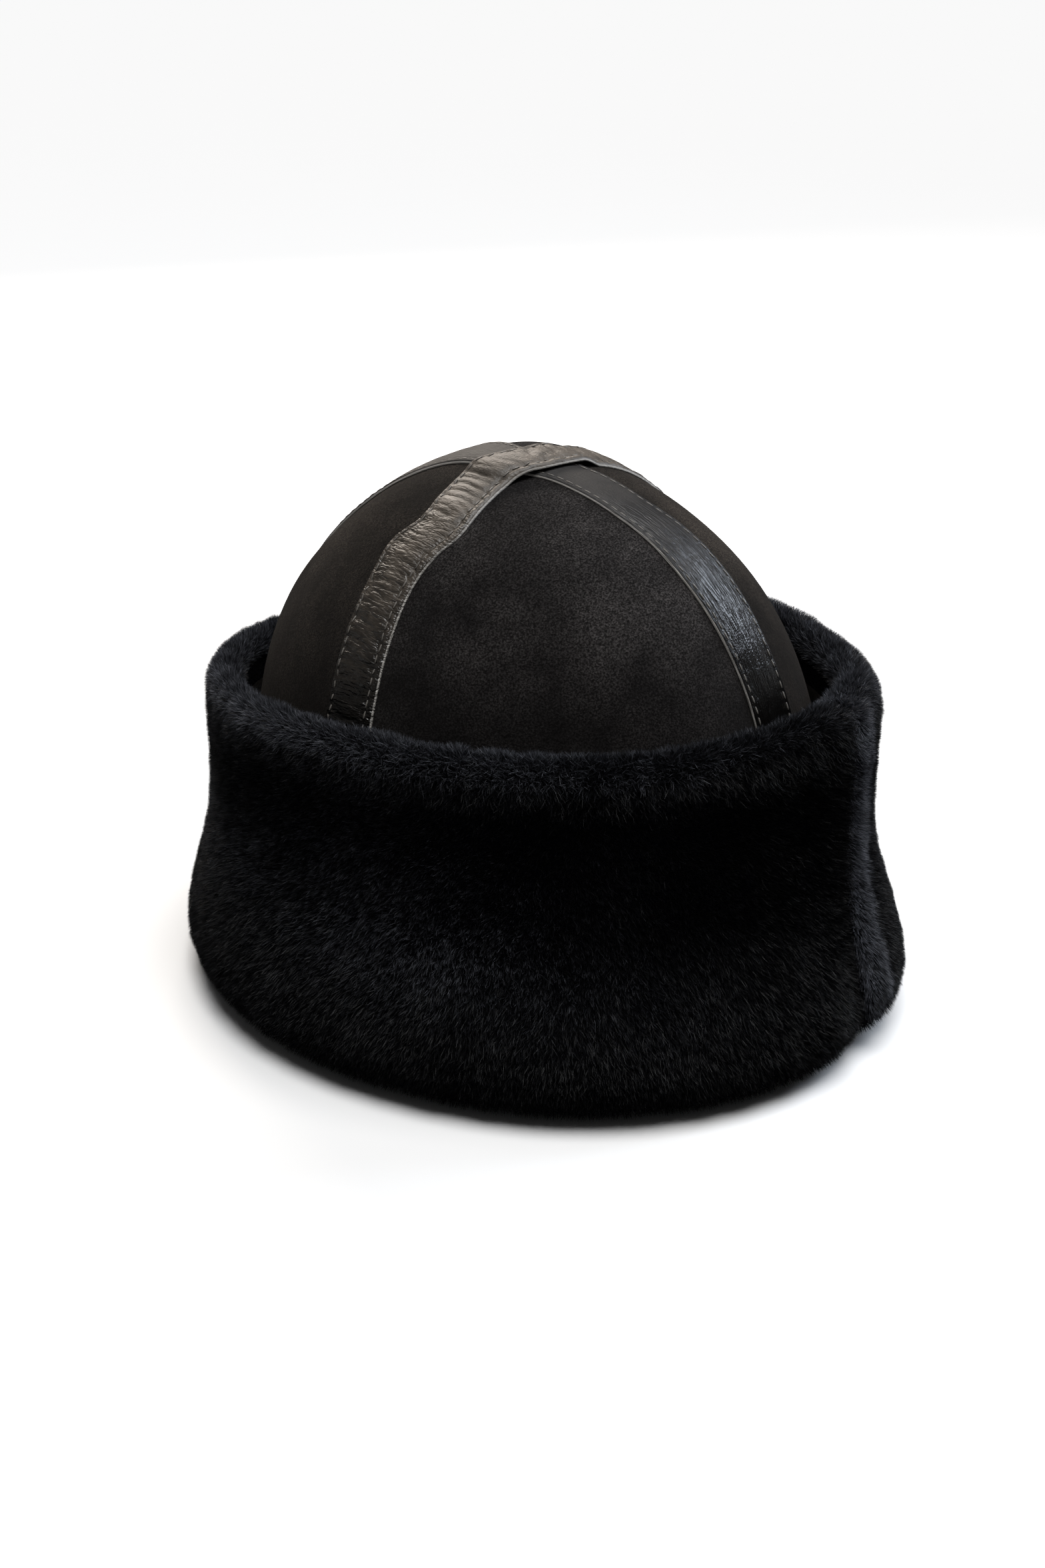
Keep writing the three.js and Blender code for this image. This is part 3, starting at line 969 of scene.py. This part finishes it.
def round_the_head(spot, turn, distance):
    """Takes points of the section to their place at a turn from the slit, in metres."""
    angle = SLIT_ANGLE + turn
    end = {name: np.where(turn < HALF_TURN, *both) for name, both in ENDS.items()}
    rounding = np.clip(distance / end["round"], 0, 1)
    fullness = end["thinnest"] + (1 - end["thinnest"]) * np.sqrt(1 - (1 - rounding) ** 2)
    wide = spot["middle_wide"] + (spot["wide"] - spot["middle_wide"]) * fullness
    high = spot["middle_high"] + (spot["high"] - spot["middle_high"]) * fullness
    rim_share = smoothstep(high, *RIM_ZONE)
    outer_share = smoothstep(spot["wide"], RIM["inner"], RIM["outer"])
    foot_share = (1 - smoothstep(high, *FOOT_ZONE)) * smoothstep(wide, *BULGE_ZONE)
    upper = smoothstep(high, *UPPER_ZONE)
    proud = end["proud"] * upper + end["foot_proud"] * (1 - upper)
    wide = wide + proud * (1 - smoothstep(distance, 0, end["proud_reach"])) * outer_share
    wide = wide + waver("rim_out", angle) * rim_share * outer_share
    wide = wide + waver("foot_out", angle) * foot_share
    high = high + waver("rim_rise", angle) * rim_share
    high = high + end["foot_lift"] * (1 - smoothstep(distance, 0, end["foot_reach"])) * foot_share
    along = wide + spot["longer"]
    return np.stack([wide * np.cos(angle), along * np.sin(angle), high], axis=-1) * MM


# %% [markdown]
# The leather of the cuff is a closed wall. Its outline is drawn in one plane, closed to a ring,
# spun almost once round, and filled at both ends of the slit. On its wool side it stands for the
# dense lower part of the pile, three millimetres below the tips. Every point is taken round the
# head at the end.

# %% The cuff's leather
PILE_DEPTH = 3.0
CUFF_STEPS, KEPT_ROWS = 150, 4


def part_way(rows, depth):
    """The section at a depth in millimetres below the tips of the wool."""
    in_wide, in_high = rows["middle_wide"] - rows["wide"], rows["middle_high"] - rows["high"]
    share = depth / np.hypot(in_wide, in_high)
    spot = dict(rows)
    spot["wide"], spot["high"] = rows["wide"] + in_wide * share, rows["high"] + in_high * share
    return spot


def make_cuff_skin():
    inner = part_way({name: wool[name][::KEPT_ROWS] for name in SIDES}, PILE_DEPTH)
    skin = dict(CUFF_WALL, wide=CUFF_WALL["skin_wide"], high=CUFF_WALL["skin_high"])
    ring = {name: np.append(inner[name], skin[name][::-1]) for name in SIDES}
    gap = SLIT_HALF_GAP / RIM["outer"]
    outline = np.column_stack([ring["wide"], 0 * ring["wide"], ring["high"]]) * MM
    cuff = draw_line("cuff_skin", outline)
    with Editing(cuff):
        mesh = bmesh.from_edit_mesh(cuff.data)
        for vertex in mesh.verts:
            ends = (Vector(outline[0]), Vector(outline[-1]))
            vertex.select = min((vertex.co - end).length for end in ends) < 0.01 * MM
        bmesh.update_edit_mesh(cuff.data)
        bpy.ops.mesh.edge_face_add()
        bpy.ops.mesh.select_all(action="SELECT")
        sweep = FULL_TURN - 2 * gap
        bpy.ops.mesh.spin(steps=CUFF_STEPS, angle=sweep, center=(0, 0, 0), axis=(0, 0, -1))
        bpy.ops.mesh.select_all(action="DESELECT")
        bpy.ops.mesh.select_non_manifold()
        bpy.ops.mesh.fill_holes(sides=0)
        bpy.ops.mesh.select_all(action="SELECT")
        bpy.ops.mesh.normals_make_consistent(inside=False)
    points = points_of(cuff)
    radius = np.hypot(points[:, 0], points[:, 1])
    away = np.hypot(radius[:, None] - outline[:, 0], points[:, 2:] - outline[:, 2])
    row = away.argmin(axis=1)
    turn = np.arctan2(points[:, 1], points[:, 0]) % FULL_TURN
    turn = np.where(turn > FULL_TURN - 3 * gap, 0, turn) + gap
    spot = {name: ring[name][row] for name in SIDES}
    set_points(cuff, round_the_head(spot, turn, np.maximum(from_end(turn), 0)))
    add_material(cuff, wool_root, black_suede)
    for face in cuff.data.polygons:
        on_skin = sum(row[i] >= len(inner["wide"]) for i in face.vertices)
        face.material_index = int(on_skin == len(face.vertices))
    make_active(cuff)
    bpy.ops.object.shade_smooth_by_angle(angle=math.radians(60))
    take_place(cuff, "fur_cuff")


make_cuff_skin()

# %% [markdown]
# The wool is what makes this hat, and no bump on a smooth wall would give its soft outline, so it
# is modelled hair by hair. Each hair is one long thin triangle from the dense body of the pile to
# the surface that the shears left. Two thirds of a million of them fit the budget of triangles,
# set more thickly where they show. Hairs don't stand straight: neighbours lean the same way,
# which draws the tips together into small tufts, and on the rim they stray most. Beside the slit
# the hairs of both ends lean towards the gap. They are drawn at random places from a fixed seed
# too, so that every run gives the same wool, and none reaches below the ground.

# %% Hairs
HAIR_WIDTH = 0.26 * MM
WOOL_PIECES = ["back_left", "back_right", "front_right", "front_left"]


def across_hair(direction, chance):
    """A direction square to each hair, turned round it at random."""
    helper = np.where(np.abs(direction[:, 2:]) < 0.8, (0, 0, 1), (1, 0, 0))
    first = np.cross(direction, helper)
    first /= np.linalg.norm(first, axis=1)[:, None]
    second = np.cross(direction, first)
    turn = chance.uniform(0, FULL_TURN, len(direction))[:, None]
    return first * np.cos(turn) + second * np.sin(turn)


def make_hairs(name, node, roots, tips, tone, width, material, chance):
    """One mesh of hairs, each a thin triangle with its own map: how pale, and how far along."""
    count = len(roots)
    direction = tips - roots
    direction /= np.linalg.norm(direction, axis=1)[:, None]
    side = across_hair(direction, chance) * (width / 2)
    points = np.stack([roots - side, roots + side, tips], axis=1)
    points[..., 2] = np.maximum(points[..., 2], 0)
    mesh = bpy.data.meshes.new(name)
    mesh.vertices.add(3 * count)
    mesh.vertices.foreach_set("co", points.ravel().astype(np.float32))
    mesh.loops.add(3 * count)
    mesh.loops.foreach_set("vertex_index", np.arange(3 * count, dtype=np.int32))
    mesh.polygons.add(count)
    mesh.polygons.foreach_set("loop_start", np.arange(0, 3 * count, 3, dtype=np.int32))
    along = np.tile((0.0, 0.0, 1.0), count)
    layer = mesh.uv_layers.new(name="OFBake")
    strand = np.column_stack([np.repeat(tone, 3), along])
    layer.uv.foreach_set("vector", strand.ravel().astype(np.float32))
    mesh.update(calc_edges=True)
    hairs = bpy.data.objects.new(name, mesh)
    bpy.context.scene.collection.objects.link(hairs)
    add_material(hairs, material)
    take_place(hairs, node)


# %% [markdown]
# The places of the hairs: first how far along the section and how far round the head, then a root
# in the body of the pile and a tip at the sheared surface, moved by the leanings. A few stand on
# the cut ends at the slit. How pale a hair is, is light and shade painted into its colour: the rim
# is painted lit, the foot and wall are painted in shade but for some painted lit patches and a
# painted darker patch under the rim, one end is painted darker beside the slit, and a strip of the
# other end beside the slit is painted palest. Over that the paleness differs at random, in clouds,
# in specks and from hair to hair.

# %% The cuff's wool
SHOWN_FROM = 75.0
HIDDEN_DENSITY = 0.25
CUFF_HAIRS = 660_000
TUFT = {"size": 2.6 * MM, "lean": 1.0}
DRIFT = {"size": 22 * MM, "lean": 0.8}
UNEVEN = {"size": 7 * MM, "rise": 0.9}
ROOT_BELOW = 0.5
STRAY_LEAN, STRAY_DEPTH, MEAN_DEPTH = 0.7, 0.3, 0.1
END_LEAN = np.array([2.5, 1.5])
END_REACH = np.array([12.0, 3.0])
ROUGH_END = {"more": 1.5, "reach": 22}
CUT_END_SHARE, CUT_END_DEPTH = 0.03, 9.0
RIM_LEAN, RIM_STRAY = -1.2, 1.5
RIM_FUR, RIM_LIGHT, WALL_LIGHT = (104, 118), (115, 124), (20, 60)
# Painted light: how pale the wool is painted at the foot, on the wall, on the rim and on the strip
# by the slit.
PAINTED_PILE_LIGHT = {"foot": 0.022, "wall": 0.062, "rim": 1.05, "end": 1.6}
# Painted shade on one end of the cuff beside the slit, weaker on the rim but reaching further
# there.
PAINTED_END_SHADE = {"tone": 0.05, "reach": 60, "rim_tone": 0.3, "rim_start": 40, "rim_reach": 20}
# A painted lit strip on the first end of the cuff beside the slit, wider higher up.
PAINTED_LIT_STRIP = {"width": 14, "wider": 9, "widens": (42, 62), "blur": 3, "begins": (8, 30)}
HAIR_TONE = {"least": 0.15, "more": 4.2, "power": 4}
CLOUD, CLOUD_SIZE = 0.8, 26 * MM
SPECKLE, SPECKLE_SIZE = 1.4, 1.8 * MM
END_CLOUD, END_CLOUD_SIZE = 1.2, 9 * MM
# Painted light in patches: a positive gain paints the wool lighter there, a negative gain paints
# shade.
PAINTED_LIGHT_PATCHES = table("""
    around  high  wide  tall  gain
         6    68    22    28   4.0
        28    52    20    14   1.8
        55    36    25    12   0.6
       120    70    25    18   1.2
       190    60    28    18   1.5
       260    75    24    16   1.2
       320    62    20    20   1.0
        18   124    34     9   0.7
        60   105    70    11  -0.7
""")


def painted_wool_light(roots, distance, first, chance):
    """How pale each hair is, from 0 to 1: light and shade painted into the wool's colour, varied
    at random.
    """
    angle = np.arctan2(roots[:, 1], roots[:, 0])
    around = np.degrees(angle) % 360
    high = roots[:, 2] / MM
    high = high - waver("rim_rise", angle) * smoothstep(high, *RIM_ZONE)
    on_rim = smoothstep(high, *RIM_LIGHT)
    # Painted shade at the foot and on the wall, painted light on the rim.
    tone = PAINTED_PILE_LIGHT["foot"] + (PAINTED_PILE_LIGHT["wall"] - PAINTED_PILE_LIGHT["foot"]) * smoothstep(high, *WALL_LIGHT)
    tone = tone + (PAINTED_PILE_LIGHT["rim"] - tone) * on_rim
    tone = tone * (1 + CLOUD * noise_at(roots, CLOUD_SIZE, 6.0))
    tone = tone * (1 + SPECKLE * noise_at(roots, SPECKLE_SIZE, 2.0))
    for middle, level, wide, tall, gain in zip(*PAINTED_LIGHT_PATCHES.values()):
        off = (around - middle + 180) % 360 - 180
        tone = tone * (1 + gain * np.exp(-((off / wide) ** 2) - ((high - level) / tall) ** 2))
    # Painted shade: the end that is not the first is painted darker towards the slit.
    dim_reach = PAINTED_END_SHADE["reach"] + PAINTED_END_SHADE["rim_reach"] * on_rim
    clear = smoothstep((distance - PAINTED_END_SHADE["rim_start"] * on_rim) / dim_reach, 0.5, 1.5)
    dimmest = PAINTED_END_SHADE["tone"] + PAINTED_END_SHADE["rim_tone"] * on_rim
    tone = tone * np.where(first, 1, dimmest + (1 - dimmest) * clear)
    # Painted light: a strip of the first end beside the slit is painted palest, with clouds of
    # random tone in it.
    width = PAINTED_LIT_STRIP["width"] + PAINTED_LIT_STRIP["wider"] * smoothstep(high, *PAINTED_LIT_STRIP["widens"])
    beside = 1 - smoothstep(distance, width - PAINTED_LIT_STRIP["blur"], width + PAINTED_LIT_STRIP["blur"])
    end = first * beside * smoothstep(high, *PAINTED_LIT_STRIP["begins"])
    painted_strip_tone = PAINTED_PILE_LIGHT["end"] * (1 + END_CLOUD * noise_at(roots, END_CLOUD_SIZE, 3.0))
    tone = tone + (painted_strip_tone - tone) * end
    single = chance.uniform(0, 1, len(roots)) ** HAIR_TONE["power"]
    return np.clip(tone * (HAIR_TONE["least"] + HAIR_TONE["more"] * single), 0, 1)


def make_cuff_wool():
    chance = np.random.default_rng(11)
    run = wool["run"]
    density = wool["wide"] * np.where(run < SHOWN_FROM, HIDDEN_DENSITY, 1)
    share = np.append(0, np.cumsum((density[1:] + density[:-1]) / 2 * np.diff(run)))
    along = np.interp(chance.uniform(0, share[-1], CUFF_HAIRS), share, run)
    turn = chance.uniform(0, FULL_TURN, CUFF_HAIRS)
    on_cut = chance.uniform(0, 1, CUFF_HAIRS) < CUT_END_SHARE
    near_end = (SLIT_HALF_GAP + chance.uniform(0, 1, CUFF_HAIRS)) / RIM["outer"]
    turn = np.where(on_cut, np.where(turn < HALF_TURN, near_end, FULL_TURN - near_end), turn)
    deeper = np.where(on_cut, chance.uniform(0, CUT_END_DEPTH, CUFF_HAIRS), 0)
    distance = np.maximum(from_end(turn), 0)

    def section(along, depth):
        rows = {name: np.interp(along, run, wool[name]) for name in SIDES}
        return part_way(rows, depth)

    roots = round_the_head(section(along, PILE_DEPTH + ROOT_BELOW + deeper), turn, distance)
    tuft = drift_at(roots, TUFT["size"]) * TUFT["lean"]
    drift = drift_at(roots, DRIFT["size"], 9.0) * DRIFT["lean"]
    uneven = noise_at(roots, UNEVEN["size"], 4.0) * UNEVEN["rise"]
    on_rim = smoothstep(roots[:, 2] / MM, *RIM_FUR)
    stray = STRAY_LEAN + (RIM_STRAY - STRAY_LEAN) * on_rim
    shift = tuft + drift + chance.normal(0, 1, tuft.shape) * stray[:, None]
    shift[:, 1] += RIM_LEAN * on_rim
    first = turn < HALF_TURN
    towards = np.where(first, -END_LEAN[0], END_LEAN[1])
    towards = towards * np.exp(-distance / np.where(first, *END_REACH))
    tip_turn = turn + (shift[:, 0] + towards) / RIM["outer"]
    at_end = first * np.exp(-((distance / ROUGH_END["reach"]) ** 2))
    rougher = 1 + on_rim + ROUGH_END["more"] * at_end
    depth = chance.normal(MEAN_DEPTH, STRAY_DEPTH, CUFF_HAIRS) + uneven * rougher + deeper
    tip_spot = section(np.clip(along + shift[:, 1], 0, run[-1]), depth)
    tips = round_the_head(tip_spot, tip_turn, distance)
    tone = painted_wool_light(roots, distance, first, chance)
    quarter = (roots[:, 1] < 0) * 2 + ((roots[:, 0] < 0) != (roots[:, 1] < 0))
    for number, place in enumerate(WOOL_PIECES):
        here = quarter == number
        make_hairs(
            "cuff_wool_" + place, "fur_cuff", roots[here], tips[here], tone[here],
            HAIR_WIDTH, cuff_wool, chance,
        )


make_cuff_wool()

# %% [markdown]
# The inside of the crown is lined with its own short wool. It is the same kind of hair, scattered
# evenly over the faces of the dome and turned inwards, longer and sparser than on the cuff. The
# faces can come in another order in another run, so they are first sorted by their places, to a
# hundredth of a millimetre. Each hair belongs to the panel between whose seams it stands.

# %% The lining's wool
LINING = {"hairs": 84_000, "root": 5.5 * MM, "tip": 8.6 * MM, "width": 0.55 * MM, "lean": 1.4 * MM}


def scatter(piece, count, chance):
    """Random places spread evenly over a piece, and the way its surface faces there."""
    triangle_count = triangles_in(piece)
    corners = np.empty(3 * triangle_count, np.int32)
    piece.data.loop_triangles.foreach_get("vertices", corners)
    corners = corners.reshape(-1, 3)
    middles = points_of(piece)[corners].mean(axis=1)
    corners = corners[np.lexsort(np.round(middles / MM, 2).T)]
    points, normals = points_of(piece)[corners], normals_of(piece)[corners]
    sides = np.cross(points[:, 1] - points[:, 0], points[:, 2] - points[:, 0])
    area = np.linalg.norm(sides, axis=1)
    chosen = chance.choice(triangle_count, count, p=area / area.sum())
    share = chance.dirichlet((1, 1, 1), count)[..., None]
    return (points[chosen] * share).sum(axis=1), (normals[chosen] * share).sum(axis=1)


def left_of_seam(points, turn):
    return turned(points[:, :2] - SEAM_CROSSING, -turn)[:, 1] > 0


def make_lining():
    chance = np.random.default_rng(5)
    places, outward = scatter(dome, LINING["hairs"], chance)
    roots = places - outward * LINING["root"]
    lean = drift_at(roots, 9 * MM) * 2 + chance.normal(0, 0.4, roots.shape)
    tips = places - outward * LINING["tip"] + lean * LINING["lean"]
    tone = chance.uniform(0.2, 1, LINING["hairs"])
    left_of_over, left_of_under = left_of_seam(roots, OVER_TURN), left_of_seam(roots, UNDER_TURN)
    quarters = {
        "crown_panel_back_left": left_of_over & ~left_of_under,
        "crown_panel_back_right": left_of_over & left_of_under,
        "crown_panel_front_right": ~left_of_over & left_of_under,
        "crown_panel_front_left": ~left_of_over & ~left_of_under,
    }
    for node, here in quarters.items():
        make_hairs(
            node + "_lining", node, roots[here], tips[here], tone[here],
            LINING["width"], lining_wool, chance,
        )


make_lining()

# %% [markdown]
# The stage is a pale floor under soft studio light. The hat is nearly black, so the light has to
# graze it: a broad light from overhead picks out the rim and the nap of the suede, a cool one on
# the right puts the long reflection on the band there, a warm one from behind edges the outline,
# and hardly any comes from the camera's side. The floor fills the view up to the horizon. It
# gives back less light than it shows, or the foot of the dark wool would look grey.

# %% Floor and lights
bpy.ops.mesh.primitive_plane_add(size=60)
floor = bpy.context.object
floor.name = "floor"
floor_paint = Finish("floor_paint", Roughness=1.0, Specular_IOR_Level=0.0)
seen = floor_paint.node("LightPath")
floor_paint.set(Base_Color=floor_paint.mix(seen, (0.2, 0.2, 0.2, 1), (0.99, 0.99, 0.99, 1)))
add_material(floor, floor_paint.material)

AZIMUTH, ELEVATION, ROLL = math.radians(128.635), math.radians(22.488), math.radians(-1.36)
TO_CAMERA = Vector((
    math.sin(AZIMUTH) * math.cos(ELEVATION),
    -math.cos(AZIMUTH) * math.cos(ELEVATION),
    math.sin(ELEVATION),
))
TO_RIGHT = Vector((math.cos(AZIMUTH), math.sin(AZIMUTH), 0))
TO_FRONT = Vector((TO_CAMERA.x, TO_CAMERA.y, 0)).normalized()


def as_seen(right, front, up):
    """A place given as seen from the camera, in metres from the foot of the hat."""
    return TO_RIGHT * right + TO_FRONT * front + Vector((0, 0, up))


def add_light(name, kind, place, shines_towards, **settings):
    light = bpy.data.lights.new(name, kind)
    for setting, value in settings.items():
        setattr(light, setting, value)
    lamp = bpy.data.objects.new(name, light)
    bpy.context.scene.collection.objects.link(lamp)
    lamp.location = place
    lamp.rotation_euler = shines_towards.to_track_quat("-Z", "Y").to_euler()


def add_soft_light(name, place, size, power, colour):
    """A square light, as large as its size says, aimed at the middle of the hat."""
    aim = HAT_MIDDLE - place
    add_light(name, "AREA", place, aim, size=size, energy=power, color=colour)


HAT_MIDDLE = Vector((0, 0, 0.1))
FOOT_MIDDLE = Vector((0, 0, 0))
overhead = as_seen(right=0.12, front=0.15, up=1.0)
add_light("high_soft_light", "SUN", FOOT_MIDDLE, -overhead, energy=2.9, angle=math.radians(40))
on_the_right = as_seen(right=1.15, front=-0.45, up=0.8)
add_soft_light("cool_right_light", on_the_right, 0.55, 9, (0.8, 0.88, 1.0))
behind = as_seen(right=-0.3, front=-1.25, up=1.0)
add_soft_light("warm_back_light", behind, 0.7, 11, (1.0, 0.9, 0.8))

SHADE_LEVEL, PAPER_LEVEL = 0.05, 0.9


def make_world():
    """Dim all round as a light, and as pale as paper where it is looked at."""
    world = bpy.data.worlds.new("studio")
    world.use_nodes = True
    tree = world.node_tree
    background = tree.nodes["Background"]
    background.inputs["Color"].default_value = (1, 1, 1, 1)
    path = tree.nodes.new("ShaderNodeLightPath")
    level = tree.nodes.new("ShaderNodeMapRange")
    level.inputs["To Min"].default_value = SHADE_LEVEL
    level.inputs["To Max"].default_value = PAPER_LEVEL
    tree.links.new(path.outputs["Is Camera Ray"], level.inputs["Value"])
    tree.links.new(level.outputs["Result"], background.inputs["Strength"])
    return world


bpy.context.scene.world = make_world()
bpy.context.scene.view_settings.view_transform = "Standard"

# %% [markdown]
# The camera looks at the hat from behind its left side and a little above, less than a metre
# away. Its place was found by fitting the outlines of the crown and the cuff, and its lens is
# worked out for a picture of 1568 by 2352 pixels.

# %% Camera
VIEW_WIDTH, VIEW_HEIGHT = 1568, 2352
FOCAL_PIXELS = 3067.86
AIM = Vector((3.5, -2.6, 72.3)) * MM
DISTANCE = 0.78

camera_data = bpy.data.cameras.new("camera")
camera_data.sensor_fit = "AUTO"
camera_data.sensor_width = 36
camera_data.lens = camera_data.sensor_width * FOCAL_PIXELS / max(VIEW_WIDTH, VIEW_HEIGHT)
camera = bpy.data.objects.new("camera", camera_data)
bpy.context.scene.collection.objects.link(camera)
upright = TO_CAMERA.cross(TO_RIGHT)
rolled_right = TO_RIGHT * math.cos(ROLL) + upright * math.sin(ROLL)
rolled_up = upright * math.cos(ROLL) - TO_RIGHT * math.sin(ROLL)
placed = Matrix((rolled_right, rolled_up, TO_CAMERA)).transposed().to_4x4()
placed.translation = AIM + TO_CAMERA * DISTANCE
camera.matrix_world = placed
bpy.context.scene.camera = camera
print(f"camera with a {camera_data.lens:.1f} mm lens")

# %% [markdown]
# The dome that the panels were cut from has done its work, and is removed before the frame is
# closed.

# %% Close
bpy.data.objects.remove(dome)
bpy.context.view_layer.update()
